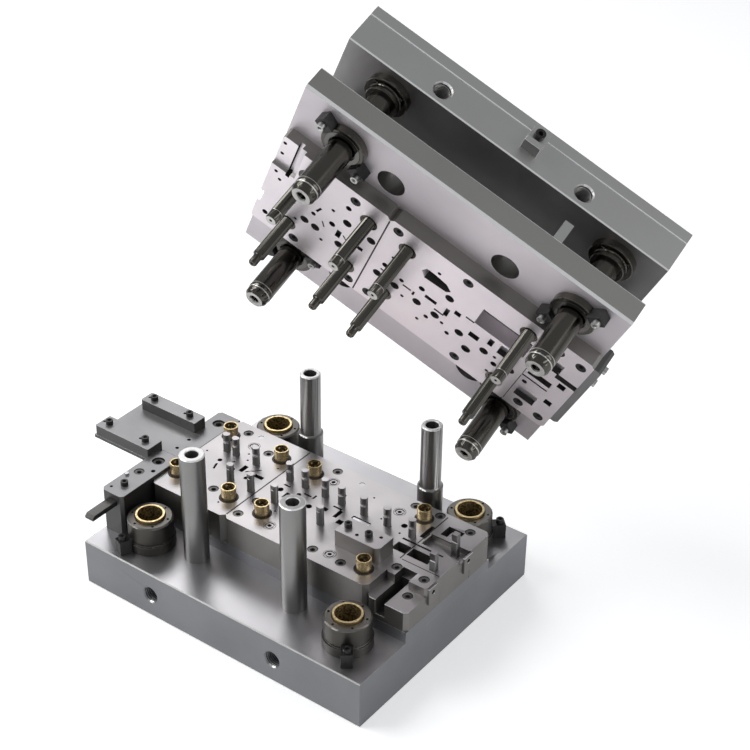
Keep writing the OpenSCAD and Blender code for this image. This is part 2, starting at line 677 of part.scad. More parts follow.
module top_shoe() {
    z0 = top_shoe_z;
    z1 = top_plate_z;
    color(steel) opened(open_height + stripper_travel) difference() {
        edge_plate(-half_length, half_length, -top_width / 2, top_width / 2, z0, z1, 1.5);
        for (p = pillar_spots) disc(p, pillar_d, z0 - 1, z1 + 1, 64);
        for (p = gas_springs_at) disc(p, gas_body_d, z0 - 1, z1 + 1);
        for (p = spools_at) {
            disc(p, spool_d + 0.6, z0 - 1, z1 + 1);
            disc(p, 25, spool_under - stripper_travel - 0.3, z1 + 1);
        }
        for (p = punch_screws_at) {
            disc(p, 10, z0 - 1, z1 + 1, 24);
            disc(p, 17, z1 - 10.5, z1 + 1, 32);
        }
        for (p = top_screws_at) disc(p, 12, z1 - 30, z1 + 1, 24);
        disc(rod_at, rod_bore, z0 - 1, z1 + 1, 32);
        for (x = [-104, 96]) translate([x, -top_width / 2, z0 + 18]) rotate([90, 0, 0]) {
            translate([0, 0, -side_hole_depth]) cylinder(d = side_hole_d, h = side_hole_depth + 1, $fn = 48);
            translate([0, 0, -2]) cylinder(d1 = side_hole_d, d2 = side_hole_d + 6, h = 3, $fn = 48);
        }
        translate([16, -top_width / 2, z1 - 9]) rotate([-90, 0, 0]) translate([0, 0, -1])
            cylinder(d = 8, h = 21, $fn = 24);
    }
}

module top_plate() {
    color(steel) opened(open_height + stripper_travel) difference() {
        edge_plate(-half_length, half_length, -top_width / 2, top_width / 2, top_plate_z, lid_z, 1);
        for (p = top_screws_at) {
            disc(p, 12, top_plate_z - 1, lid_z + 1, 24);
            disc(p, 19, lid_z - 12.5, lid_z + 1, 32);
        }
        disc(rod_at, rod_bore, top_plate_z - 1, lid_z + 1, 32);
    }
}

module top_screws() {
    color(dark) opened(open_height + stripper_travel) for (p = top_screws_at)
        cap_screw(p, lid_z - 12.5, 12, top_plate_height - 12.5 + 30);
}

// Strap that straddles the seam of top shoe and top plate, thicker at its lower end
module strap_block() {
    y0 = -top_width / 2;
    color(steel) opened(open_height + stripper_travel) difference() {
        union() {
            slab(5, 27, y0 - 10, y0, top_plate_z - 28, top_plate_z + 6);
            slab(5, 27, y0 - 17, y0 - 9, top_plate_z - 28, top_plate_z - 20);
        }
        translate([16, y0, top_plate_z - 9]) rotate([90, 0, 0]) translate([0, 0, -1])
            cylinder(d = 8, h = 14, $fn = 24);
    }
}

module strap_screw() {
    color(dark) opened(open_height + stripper_travel)
        translate([16, -top_width / 2 - 10, top_plate_z - 9]) rotate([90, 0, 0]) cap_screw([0, 0], 0, 8, 29);
}

module guide_pillars() {
    r = pillar_d / 2;
    color(oiled) opened(open_height + stripper_travel) for (p = pillar_spots) translate([p[0], p[1], 0])
        rotate_extrude($fn = 64) polygon([
            [0, pillar_tip + 18], [5, pillar_tip + 15], [5, pillar_tip + 2], [7, pillar_tip], [r - 4, pillar_tip],
            [r - 1, pillar_tip + 4], [r - 1, pillar_tip + 10], [r, pillar_tip + 11], [r, pillar_tip + 15],
            [r - 1, pillar_tip + 15.5], [r - 1, pillar_tip + 17], [r, pillar_tip + 17.5],
            [r, top_plate_z], [0, top_plate_z]]);
}

module pillar_collars() {
    z = top_shoe_z;
    r = pillar_d / 2;
    color(oiled) opened(open_height + stripper_travel) for (p = pillar_spots) translate([p[0], p[1], 0])
        difference() {
            rotate_extrude($fn = 64) polygon([
                [r, z - 19], [r + 5, z - 19], [r + 6, z - 18], [r + 6, z - 13], [r + 4.5, z - 12.5], [r + 4.5, z - 11],
                [r + 6, z - 10], [r + 12, z - 10], [r + 13, z - 9], [r + 13, z], [r, z]]);
            for (a = [45:90:315]) rotate(a) disc([25, 0], 5, z - 11, z - 5, 16);
        }
}

module punch_plate() {
    z0 = punch_plate_z;
    z1 = top_shoe_z;
    color(steel) opened(open_height + stripper_travel) difference() {
        slab(-195, 207, -85, 85, z0, z1);
        upper_openings(0, z0 - 1, z1 + 1);
        for (p = round_punches_at) disc(p, p[2] + 3, z1 - 5, z1 + 1, 24);
        for (p = pins_at) {
            disc(p, pin_d, z0 - 1, z1 + 1);
            disc(p, pin_d + 4, z1 - 5, z1 + 1);
        }
        for (p = gas_springs_at) disc(p, gas_body_d, z0 - 1, z1 + 1);
        for (p = spools_at) disc(p, spool_d + 0.6, z0 - 1, z1 + 1);
        for (p = punch_screws_at) disc(p, 10, z1 - 24, z1 + 1, 24);
        disc(rod_at, rod_bore, z0 - 1, z1 + 1, 32);
    }
}

module punch_plate_screws() {
    color(dark) opened(open_height + stripper_travel) for (p = punch_screws_at)
        cap_screw(p, top_plate_z - 10.5, 10, top_shoe_height - 10.5 + 24);
}

module round_punches() {
    color(steel) opened(open_height + stripper_travel) for (p = round_punches_at) {
        disc(p, p[2], die_top - 4, top_shoe_z, 24);
        disc(p, p[2] + 3, top_shoe_z - 5, top_shoe_z, 24);
    }
}

module shaped_punches() {
    color(steel) opened(open_height + stripper_travel) for (p = shaped_punches_at)
        post_box(p, p[2], p[3], die_top - 4, top_shoe_z);
}

// Inner guide pin with a headed end; tip_d under pin_d gives the stepped tip
module guide_pin(p, tip_d) {
    tip = shoe_height - 27;
    r = pin_d / 2;
    t = tip_d / 2;
    translate([p[0], p[1], 0]) rotate_extrude($fn = 40) polygon([
        [0, tip + 8], [2, tip + 7], [2, tip], [t - 1, tip], [t, tip + 1.5], [t, tip + 12], [r, tip + 12 + r - t],
        [r, top_shoe_z - 5], [r + 2, top_shoe_z - 5], [r + 2, top_shoe_z], [0, top_shoe_z]]);
}

module front_guide_pins() {
    color(oiled) opened(open_height + stripper_travel) for (p = front_pins_at) guide_pin(p, pin_d - 0.6);
}

module back_guide_pins() {
    color(oiled) opened(open_height + stripper_travel) for (p = back_pins_at) guide_pin(p, pin_d - 5);
}

module gas_springs() {
    color(dark) opened(open_height + stripper_travel) for (p = gas_springs_at) difference() {
        disc(p, gas_body_d, punch_plate_z + 0.5, top_plate_z, 48);
        disc(p, gas_rod_d + 0.6, punch_plate_z - 1, stripper_top + 82, 32);
    }
}

module stripper_plate() {
    z0 = stripper_z;
    z1 = stripper_top;
    color(ground) opened(open_height) difference() {
        edge_plate(-half_length, half_length, -stripper_width / 2, stripper_width / 2, z0, z1, 3);
        for (p = pillar_spots) disc(p, stripper_bush_d, z0 - 1, z1 + 1, 64);
        for (p = front_posts_at) disc(p, front_post_d + 4, z0 - 1, z1 + 1, 48);
        for (p = back_posts_at) disc(p, front_post_d + 4, z0 - 1, z1 + 1, 48);
        for (p = pins_at) disc(p, pin_sleeve_d, z0 - 1, z1 + 1);
        upper_openings(1, z0 - 1, z1 + 1);
        disc(rod_at, rod_bore, z0 - 1, z1 + 1, 32);
        for (p = spools_at) disc(p, 12, z1 - 22, z1 + 1, 24);
        for (p = insert_screws_at) disc(p, 8, z0 - 1, z0 + 10, 24);
        for (i = [0:3]) for (s = [0, 180]) translate([pillar_spots[i][0], pillar_spots[i][1], 0])
            rotate(upper_clamp_turns[i] + s) disc([38, 0], 6, z0 - 1, z0 + 12, 24);
        slab(window[0], window[1], window[2], window[3], z0 - 1, window_top);
        for (y = [-50, -15]) translate([half_length - 20, y, z0 + 10]) rotate([0, 90, 0])
            cylinder(d = 6, h = 21, $fn = 24);
    }
}

// Holes shared by the three stripper inserts, in closed place
module insert_openings() {
    z0 = face_z;
    z1 = stripper_z;
    upper_openings(punch_play, z0 - 1, z1 + 1);
    for (p = pins_at) disc(p, pin_sleeve_d, z0 - 1, z1 + 1);
    for (p = lifters_at) disc(p, lifter_d + 2, z0 - 1, z0 + lifter_rise - lifter_stroke + 2, 32);
    for (p = end_lifters_at) post_box(p, 10, 10, z0 - 1, z0 + lifter_rise - lifter_stroke + 2);
    for (p = insert_screws_at) {
        disc(p, 8, z0 - 1, z1 + 1, 24);
        disc(p, 14, z0 - 1, z0 + 9, 32);
    }
    disc(rod_at, rod_bore, z0 - 1, z1 + 1, 32);
    for (s = slits_at) translate([s[0], s[1], z0 - 1]) rotate(s[4])
        translate([-s[2] / 2, -s[3] / 2, 0]) cube([s[2], s[3], 9]);
}

module left_insert() {
    color(ground) opened(open_height) difference() {
        cut_block(insert_left, parting_x, -stack_half, stack_half, face_z, stripper_z, [3, 5, 0, 3]);
        insert_openings();
        slab(insert_left - 1, stack_left + 0.5, -stack_half - 1, -35.5, face_z - 1, face_z + bar_rise + 0.3);
        slab(insert_left - 1, rail_end + 0.3, 27.7, 50.3, face_z - 1, die_top + rail_height + 0.3);
        slab(-201, -195.5, -stack_half - 1, -30, face_z - 1, face_z + 12);
        for (p = [[-178, 8], [-168, 36], [-128, 40], [-96, 40], [-172, -24], [-130, -30],
                [-217, -78], [-216, -57], [-213, -26], [-205, -15]])
            disc(p, 5, face_z - 1, face_z + 12, 24);
        for (p = [[-114.5, -53.5], [-206, 65.5]]) disc(p, 8, face_z - 1, stripper_z + 1, 24);
    }
}

module middle_insert() {
    color(ground) opened(open_height) difference() {
        cut_block(parting_x, end_parting_x, -stack_half, stack_half, face_z, stripper_z, [5, 3, 3, 0]);
        insert_openings();
        slab(window[0], window[1], window[2], window[3], face_z - 1, stripper_z + 1);
        translate([0, 0, face_z - 1]) linear_extrude(13)
            polygon([[-4, -40], [1, -49], [12, -49], [30, -46], [39, -38], [34, -32], [3, -30]]);
        for (p = [[16, -56], [-8, 34], [22, 56], [-40, -24], [128, 58], [50, 30], [126, 22]])
            disc(p, 5, face_z - 1, face_z + 12, 24);
        slab(84, 98, 6, 16, face_z - 1, face_z + 10);
        slab(124, 142, -10, 10, face_z - 1, face_z + 8);
    }
}

module end_insert() {
    color(ground) opened(open_height) difference() {
        cut_block(end_parting_x, stack_right, -stack_half, stack_half, face_z, stripper_z, [0, 5, 5, 0]);
        insert_openings();
        slab(168, 198, -52, -30, face_z - 1, face_z + 10);
        slab(196, stack_right + 1, -32, -22, face_z - 1, face_z + 8);
        slab(168, 200, -6, 6, face_z - 1, face_z + 10);
        slab(170, 198, 40, 62, face_z - 1, face_z + 8);
        disc([172, 26], 7, face_z - 1, face_z + 12, 24);
    }
}

module stripper_bushes() {
    z0 = stripper_z - stripper_flange;
    color(oiled) opened(open_height) for (p = pillar_spots) translate([p[0], p[1], 0])
        rotate_extrude($fn = 64) polygon([
            [pillar_d / 2 + 0.3, z0 + 2], [stripper_flange_d / 2 - 5, z0 + 2], [stripper_flange_d / 2 - 5, z0],
            [stripper_flange_d / 2 - 1, z0], [stripper_flange_d / 2, z0 + 1], [stripper_flange_d / 2, stripper_z],
            [stripper_bush_d / 2, stripper_z], [stripper_bush_d / 2, stripper_top],
            [pillar_d / 2 + 0.3, stripper_top]]);
}

module bush_rings() {
    z0 = stripper_z - stripper_flange;
    color([0.8, 0.8, 0.8]) opened(open_height) for (p = pillar_spots) difference() {
        disc(p, stripper_flange_d - 10, z0 - 0.5, z0 + 2, 64);
        disc(p, pillar_d + 4, z0 - 2, z0 + 3, 64);
    }
}

module upper_clamps() {
    z0 = stripper_z - stripper_flange - 5;
    color(dark) opened(open_height) for (i = [0:3]) for (s = [0, 180])
        translate([pillar_spots[i][0], pillar_spots[i][1], 0]) rotate(upper_clamp_turns[i] + s) difference() {
            slab(26.5, 45, -7.5, 7.5, z0, stripper_z);
            disc([0, 0], stripper_flange_d, z0 + 5, stripper_z + 1, 64);
            disc([38, 0], 6, z0 - 1, stripper_z + 1, 24);
        }
}

// Identical M6 cap screws of the upper bush clamps and the end strap
module upper_m6_screws() {
    z0 = stripper_z - stripper_flange - 5;
    color([0.75, 0.75, 0.75]) opened(open_height) {
        for (i = [0:3]) for (s = [0, 180]) translate([pillar_spots[i][0], pillar_spots[i][1], 0])
            rotate(upper_clamp_turns[i] + s) cap_screw_down([38, 0], z0, 6, 26);
        for (y = [-50, -15]) translate([half_length + 10, y, stripper_z + 10]) rotate([0, 90, 0])
            cap_screw([0, 0], 0, 6, 28);
    }
}

module pin_sleeves() {
    color(oiled) opened(open_height) for (p = pins_at) difference() {
        disc(p, pin_sleeve_d, face_z + 0.5, stripper_top, 48);
        disc(p, pin_d + 0.6, face_z - 1, stripper_top + 1, 48);
    }
}

module insert_screws() {
    color(dark) opened(open_height) for (p = insert_screws_at) cap_screw_down(p, face_z + 9, 8, insert_height);
}

module end_strap() {
    color(steel) opened(open_height) difference() {
        cut_block(half_length, half_length + 10, -82, 66, face_z + 3, stripper_z + 18, [0, 4, 4, 0]);
        for (y = [-50, -15]) translate([half_length - 1, y, stripper_z + 10]) rotate([0, 90, 0])
            cylinder(d = 6, h = 12, $fn = 24);
    }
}

module spool_bolts() {
    color(dark) opened(open_height) for (p = spools_at) {
        disc(p, 12, stripper_top - 21, stripper_top + 1, 24);
        disc(p, spool_d, stripper_top, spool_under + 1, 40);
        disc(p, 24, spool_under, spool_under + spool_head, 40);
    }
}

module gas_rods() {
    color([0.8, 0.8, 0.8]) opened(open_height) for (p = gas_springs_at)
        disc(p, gas_rod_d, stripper_top, stripper_top + 58, 32);
}

module stand_off_bar() {
    color([0.75, 0.75, 0.74]) opened(open_height)
        slab(97, 109, 7 - stripper_width / 2, 15 - stripper_width / 2, stripper_top, stripper_top + 32);
}

module knockout_rod() {
    color(steel) opened(open_height) disc(rod_at, rod_d, face_z + 4, face_z + 62, 32);
}

lower_shoe();
backing_plate();
left_die_plate();
middle_die_plate();
die_insert();
end_front_block();
end_bridge_plate();
end_centre_block();
end_back_block();
end_covers();
die_screws();
ring_plugs();
die_dowels();
raised_block();
entry_bar();
finger_stop();
feed_table();
front_rail();
back_rail();
m6_screws();
outer_bushes();
outer_ball_cages();
lower_clamps();
inner_bushes();
inner_ball_cages();
lifters();
end_lifters();
lifter_springs();
front_posts();
back_posts();
m10_screws();
top_shoe();
top_plate();
top_screws();
strap_block();
strap_screw();
guide_pillars();
pillar_collars();
punch_plate();
punch_plate_screws();
round_punches();
shaped_punches();
front_guide_pins();
back_guide_pins();
gas_springs();
stripper_plate();
left_insert();
middle_insert();
end_insert();
stripper_bushes();
bush_rings();
upper_clamps();
upper_m6_screws();
pin_sleeves();
insert_screws();
end_strap();
spool_bolts();
gas_rods();
stand_off_bar();
knockout_rod();
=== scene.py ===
# %% [markdown]
# # A fine blanking die set, opened
# A fine blanking die cuts and forms small parts from a strip of steel in several stations. It is two
# thick packs of ground plates that slide together on four pillars. Here the upper pack has been lifted
# off and turned up, so that both working faces show. The solids of every plate, pin and screw come from
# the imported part. This lesson gives them ground edges, tool steel finishes, threads and bearing balls,
# and then sets up the light and the camera.

# %% Load the solids
import json
import math

import bpy
from mathutils import Matrix, Vector
from mathutils.bvhtree import BVHTree

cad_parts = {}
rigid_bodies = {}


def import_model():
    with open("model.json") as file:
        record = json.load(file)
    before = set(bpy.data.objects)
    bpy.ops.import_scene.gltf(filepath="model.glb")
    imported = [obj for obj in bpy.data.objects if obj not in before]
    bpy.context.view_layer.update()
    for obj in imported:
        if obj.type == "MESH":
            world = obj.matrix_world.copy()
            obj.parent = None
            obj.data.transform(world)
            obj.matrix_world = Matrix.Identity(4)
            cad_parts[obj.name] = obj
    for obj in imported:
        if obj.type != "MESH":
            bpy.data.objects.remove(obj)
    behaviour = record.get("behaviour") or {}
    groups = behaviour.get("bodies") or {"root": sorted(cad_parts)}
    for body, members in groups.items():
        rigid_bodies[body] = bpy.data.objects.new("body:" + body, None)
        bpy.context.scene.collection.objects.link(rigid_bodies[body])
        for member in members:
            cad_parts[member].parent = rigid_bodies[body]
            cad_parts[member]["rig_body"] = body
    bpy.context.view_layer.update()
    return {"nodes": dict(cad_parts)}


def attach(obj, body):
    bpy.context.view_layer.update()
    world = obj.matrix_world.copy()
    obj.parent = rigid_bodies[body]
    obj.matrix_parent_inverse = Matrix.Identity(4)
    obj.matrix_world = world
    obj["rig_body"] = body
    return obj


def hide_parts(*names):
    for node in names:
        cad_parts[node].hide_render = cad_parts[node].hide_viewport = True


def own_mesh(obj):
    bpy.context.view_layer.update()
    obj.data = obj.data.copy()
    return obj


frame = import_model()
print("solids loaded:", len(frame["nodes"]))

# %% [markdown]
# ## Where the upper half lies
# The upper half is drawn in its closed place, lifted, and then turned about one slanted axis. The same
# numbers are kept here, because a thread or an oil line on the upper half is modelled upright, where
# it is easy to think about, and then carried to its place by this one matrix.

# %% The turn of the upper half
MM = 0.001
TURN_AXIS = Vector((-0.903, 0.221, 0.369)).normalized()
TURN_PIVOT = Vector((144.3, 171.9, 250.3)) * MM
TURN_DEGREES = 76.7
STRIPPER_LIFT = 100 * MM
TOP_LIFT = 110 * MM


def carried_up(lift):
    """The matrix from a piece's closed place to its opened place."""
    turn = Matrix.Rotation(math.radians(TURN_DEGREES), 4, TURN_AXIS)
    there = Matrix.Translation(TURN_PIVOT)
    return there @ turn @ there.inverted() @ Matrix.Translation((0, 0, lift))


print("the top shoe is lifted by", TOP_LIFT, "m and turned by", TURN_DEGREES, "degrees")

# %% [markdown]
# ## A small language for shader maths
# A finish is a sum of noises and ramps. Wiring each of them by hand hides the idea, so one class wraps a
# node's output socket and lets Python's own operators add the Math nodes.


# %% Sockets as numbers
class Signal:
    """An output socket that can be added, multiplied and subtracted like a number."""

    def __init__(self, finish, socket):
        self.finish = finish
        self.socket = socket

    def maths(self, operation, first, second):
        return self.finish.node("ShaderNodeMath", {"operation": operation}, {0: first, 1: second})

    def __add__(self, other):
        return self.maths("ADD", self, other)

    def __radd__(self, other):
        return self.maths("ADD", other, self)

    def __sub__(self, other):
        return self.maths("SUBTRACT", self, other)

    def __mul__(self, other):
        return self.maths("MULTIPLY", self, other)

    def __rmul__(self, other):
        return self.maths("MULTIPLY", other, self)


print("signals ready")

# %% [markdown]
# ## A finish
# A finish could be wired by hand in the shader editor, but then its steps are hard to read and to
# repeat. Here everything that isn't maths comes from one method that makes any node from its type, its
# settings and its inputs. The Mix node has sockets for numbers, vectors and colours side by side, so its
# colour sockets are picked by their places.

# %% Finishes
OBJECT_COORDINATES = 3
MIX_FACTOR, MIX_FIRST, MIX_SECOND = 0, 6, 7
MIXED_COLOUR = 2


class Finish:
    """A node material that is built from signals and ends in one Principled shader."""

    def __init__(self, name):
        self.material = bpy.data.materials.new(name)
        self.material.use_nodes = True
        self.tree = self.material.node_tree
        self.shader = self.tree.nodes["Principled BSDF"]

    def node(self, kind, settings=None, inputs=None, output=0):
        made = self.tree.nodes.new(kind)
        for key, value in (settings or {}).items():
            setattr(made, key, value)
        for key, value in (inputs or {}).items():
            self.connect(made.inputs[key], value)
        return Signal(self, made.outputs[output])

    def connect(self, socket, value):
        if isinstance(value, Signal):
            self.tree.links.new(value.socket, socket)
        else:
            socket.default_value = value

    def noise(self, place, size, detail):
        return self.node("ShaderNodeTexNoise", {}, {"Vector": place, "Scale": size, "Detail": detail})

    def ramp(self, signal, low, high):
        """Spreads the part of a signal between low and high over 0 to 1."""
        return self.node(
            "ShaderNodeMapRange", {"clamp": True}, {"Value": signal, "From Min": low, "From Max": high}
        )

    def mixed(self, factor, first, second):
        """Blends two colours."""
        made = self.tree.nodes.new("ShaderNodeMix")
        made.data_type = "RGBA"
        self.connect(made.inputs[MIX_FACTOR], factor)
        self.connect(made.inputs[MIX_FIRST], first)
        self.connect(made.inputs[MIX_SECOND], second)
        return Signal(self, made.outputs[MIXED_COLOUR])

    def set(self, **values):
        """Sets the shader's sockets by name, with _ for a space."""
        for key, value in values.items():
            self.connect(self.shader.inputs[key.replace("_", " ")], value)
        return self.material


def tone(red, green, blue):
    """A colour with full alpha."""
    return (red, green, blue, 1.0)


print("finishes ready")

# %% [markdown]
# ## Ground and hardened tool steel
# The plates of a die are finished on a surface grinder. The wheel leaves very fine lines along the
# plate's length, and the metal between them is slightly cloudy. So the steel finish has three noises.
# One is stretched along the grinding direction and feeds the bump and the roughness. A very fine one
# adds grain to the bump. A broad soft one shades the colour and the roughness. On the upper half the
# same lines lie turned with it, which a Mapping node does by turning the coordinates back.

# %% The steel finish
UPPER_TURN = carried_up(0).to_3x3().inverted().to_euler()
GRINDING_STRETCH = (3, 200, 200)
LINE_SIZE = 6.0
CLOUD_SIZE = 9.0
GRAIN_SIZE = 900.0
PATCH_LOW, PATCH_HIGH = 0.35, 0.65
CLOUD_WEAR = 0.05
LINE_WEAR = 0.10
GRAIN_SHARE = 0.2


def steel_finish(name, colour, shade, rough, turned=False, lines=1.0, metal=1.0):
    """Steel from its lighter and darker colour and its roughness. With lines 0 it isn't ground."""
    finish = Finish(name)
    place = finish.node("ShaderNodeTexCoord", output=OBJECT_COORDINATES)
    if turned:
        place = finish.node("ShaderNodeMapping", {}, {"Vector": place, "Rotation": UPPER_TURN})
    stretched = finish.node("ShaderNodeMapping", {}, {"Vector": place, "Scale": GRINDING_STRETCH})
    scratch = finish.node(
        "ShaderNodeTexNoise", {}, {"Vector": stretched, "Scale": LINE_SIZE, "Detail": 3.0, "Roughness": 0.6}
    )
    cloud = finish.noise(place, CLOUD_SIZE, 3.0)
    grain = finish.noise(place, GRAIN_SIZE, 2.0)
    patches = finish.ramp(cloud, PATCH_LOW, PATCH_HIGH)
    base = finish.mixed(patches, tone(*colour), tone(*shade))
    worn = rough + CLOUD_WEAR * (patches - 0.5) + LINE_WEAR * lines * (scratch - 0.5)
    height = scratch * lines + GRAIN_SHARE * grain
    bump = finish.node("ShaderNodeBump", {}, {"Height": height, "Strength": 0.05, "Distance": 0.0004})
    return finish.set(Base_Color=base, Roughness=worn, Normal=bump, Metallic=metal)


print("steel finish ready")

# %% [markdown]
# ## Steels of the lower half
# One grey could serve all plates, but each was ground and oiled on its own, and the small differences
# make the stack readable. So each finish has two colours of its own. The shoe is bluish, and the die
# plates are a little warmer. Walls get darker copies of these finishes than the level faces, which is
# painted shade, as if the light fell only from above. The feed table is the darkest of the large lower
# pieces.

# %% Lower steels
# Each steel comes as a lighter copy for level faces and a darker one for walls: the wall copies are painted
# shade.
SHOE = steel_finish("blued_shoe", (0.50, 0.49, 0.505), (0.46, 0.45, 0.465), 0.36)
SHOE_SHADED_WALL = steel_finish("blued_shoe_wall_painted_shade", (0.325, 0.33, 0.345), (0.295, 0.30, 0.313), 0.50)
FEED = steel_finish("feed_steel", (0.36, 0.355, 0.36), (0.32, 0.315, 0.32), 0.46)
FEED_SHADED_WALL = steel_finish("feed_steel_wall_painted_shade", (0.14, 0.14, 0.138), (0.12, 0.12, 0.118), 0.48)
GROUND = steel_finish("ground_plate", (0.50, 0.478, 0.485), (0.45, 0.43, 0.437), 0.40)
GROUND_SHADED_WALL = steel_finish("ground_plate_wall_painted_shade", (0.29, 0.28, 0.265), (0.25, 0.241, 0.229), 0.46)
POST = steel_finish("turned_post", (0.34, 0.337, 0.33), (0.30, 0.297, 0.29), 0.33, lines=0.0)
# The end faces of the posts get a much paler copy of the post's steel, which is painted light.
POST_LIT_FACE = steel_finish("faced_post_painted_light", (0.70, 0.69, 0.68), (0.64, 0.63, 0.62), 0.42, lines=0.0)
OILED = steel_finish("oiled_bush", (0.125, 0.12, 0.108), (0.10, 0.095, 0.085), 0.40, lines=0.0)
OILED_FACE = steel_finish("oiled_bush_face", (0.20, 0.19, 0.175), (0.16, 0.15, 0.14), 0.42, lines=0.0)
print("lower steels made")

# %% [markdown]
# ## Steels of the upper half
# The stripper and its inserts are the palest large faces of the set, with a faint violet from the oil.
# The top shoe is darker on its faces than on its walls, and the walls of the stripper and its inserts are
# darker than their faces: each is a lit and a shaded copy of one steel, which is painted light and shade.
# The pillars and pins are oiled and nearly black.
# Their low roughness does the rest: a round bar then mirrors the lamps in one thin streak, which no
# painted highlight would do from every side.

# %% Upper steels
# Level faces and walls get a lit and a shaded copy of each steel, which is painted light and shade.
TOP_SHOE_SHADED_FACE = steel_finish("milled_top_shoe_painted_shade", (0.36, 0.355, 0.35), (0.31, 0.305, 0.30), 0.46, turned=True)
TOP_LIT_WALL = steel_finish("milled_top_wall_painted_light", (0.58, 0.575, 0.56), (0.53, 0.525, 0.51), 0.46, turned=True)
STRIPPER = steel_finish("ground_stripper", (0.80, 0.755, 0.785), (0.74, 0.695, 0.725), 0.56, turned=True)
STRIPPER_SHADED_WALL = steel_finish(
    "ground_stripper_wall_painted_shade", (0.42, 0.41, 0.39), (0.38, 0.37, 0.352), 0.46, turned=True
)
INSERT_SHADED_WALL = steel_finish(
    "ground_insert_wall_painted_shade", (0.32, 0.305, 0.285), (0.28, 0.267, 0.25), 0.46, turned=True
)
WORKING = steel_finish("ground_insert", (0.98, 0.92, 0.955), (0.93, 0.87, 0.905), 0.42, turned=True)
PILLAR = steel_finish(
    "oiled_pillar", (0.120, 0.114, 0.100), (0.100, 0.095, 0.083), 0.19, turned=True, lines=0.0
)
TIP = steel_finish("pillar_tip", (0.66, 0.65, 0.63), (0.56, 0.55, 0.53), 0.40, turned=True, lines=0.0)
print("upper steels made")

# %% [markdown]
# ## Steels of edges and small pieces
# A broken edge catches light from everywhere. Fully metallic steel would only show what one narrow face
# happens to mirror, and the line would come and go. So the edges get a painted highlight: the palest
# finish, only partly metallic, so that the line stays bright from every side. The small rings, heads and
# lifters each get a plain finish without grinding lines.

# %% Small steels
# The edge finish is a painted highlight.
EDGE_HIGHLIGHT = steel_finish("broken_edge_painted_highlight", (0.97, 0.965, 0.96), (0.94, 0.935, 0.93), 0.45, lines=0.0, metal=0.6)
BRIGHT = steel_finish("polished_ring", (0.62, 0.62, 0.60), (0.55, 0.55, 0.53), 0.34, lines=0.0)
DULL = steel_finish("dull_ring", (0.17, 0.166, 0.158), (0.14, 0.136, 0.13), 0.14, lines=0.0)
INSERT = steel_finish("pale_insert", (0.86, 0.86, 0.87), (0.80, 0.80, 0.81), 0.45, metal=0.6)
LIFTER = steel_finish("lifter_steel", (0.22, 0.215, 0.21), (0.18, 0.176, 0.172), 0.34, lines=0.0)
# The walls of bores in the stripper get a darker steel, which is painted shade.
BORED_SHADED_WALL = steel_finish(
    "bored_wall_painted_shade", (0.34, 0.325, 0.31), (0.29, 0.277, 0.264), 0.38, turned=True, lines=0.0
)
HEAD = steel_finish("worn_screw_head", (0.15, 0.147, 0.143), (0.11, 0.107, 0.104), 0.40, lines=0.0)
print("small steels made")

# %% [markdown]
# ## Black oxide, cage bronze and urethane
# Cap screws and clamps are blackened, which leaves a dark, slightly brown and rather dull skin. The ball
# cages are bronze and warm at the rim, and inside they get dark patches of painted shade between bronze
# speckles. The springs under the lifters are plain orange urethane. The insides of most holes are nearly
# black, which is painted shade. None of them is ground, so one noise is enough, and it serves the colour,
# the bump and the roughness at once.

# %% The other finishes
PATCH_WEAR = 0.12


def plain_finish(name, colour, shade, rough, metal, size=120.0):
    """A finish in patches of two colours. A larger size makes smaller patches."""
    finish = Finish(name)
    place = finish.node("ShaderNodeTexCoord", output=OBJECT_COORDINATES)
    cloud = finish.noise(place, size, 3.0)
    patches = finish.ramp(cloud, PATCH_LOW, PATCH_HIGH)
    base = finish.mixed(patches, tone(*colour), tone(*shade))
    bump = finish.node("ShaderNodeBump", {}, {"Height": cloud, "Strength": 0.12, "Distance": 0.0003})
    worn = rough + PATCH_WEAR * (patches - 0.5)
    return finish.set(Base_Color=base, Roughness=worn, Normal=bump, Metallic=metal)


BLACK = plain_finish("blackened_screw", (0.014, 0.0135, 0.013), (0.022, 0.021, 0.020), 0.38, 0.15)
BRONZE = plain_finish("bronze_cage", (0.74, 0.58, 0.32), (0.55, 0.43, 0.23), 0.34, 1.0, 260.0)
URETHANE = plain_finish("orange_urethane", (0.62, 0.20, 0.04), (0.55, 0.17, 0.04), 0.55, 0.0)
BALL = plain_finish("oiled_ball", (0.80, 0.68, 0.42), (0.62, 0.52, 0.32), 0.20, 1.0, 300.0)
# Inside the cages: dark patches of painted shade between bronze speckles.
SHADED_CAGE_INSIDE = plain_finish("cage_inside_painted_shade", (0.72, 0.55, 0.28), (0.12, 0.09, 0.045), 0.36, 0.8, 330.0)
# Near black: painted shade in holes and sockets, and dark oil in the joints and grooves.
OIL_AND_PAINTED_SHADE = plain_finish("oil_and_painted_shade", (0.030, 0.028, 0.026), (0.045, 0.042, 0.039), 0.48, 0.4)
print("other finishes made")

# %% [markdown]
# ## Which faces look into a hole
# The inside of a hole gets a near-black finish as painted shade, the face beside it doesn't. Picking those
# faces by hand would take hours, so rays find them. A ray along the normal of an inner face soon meets the
# other side of the hole. The bottom of a blind hole has nothing in front of it, so six slanted rays are
# tried there, and five of them have to meet a wall.

# %% Look out of a face
REACH = 40 * MM
OFF_FACE = 0.05
OUTWARD = 0.55
SIDEWAYS = 0.83
SLANTED_RAYS = 6
WALLS_NEEDED = 5


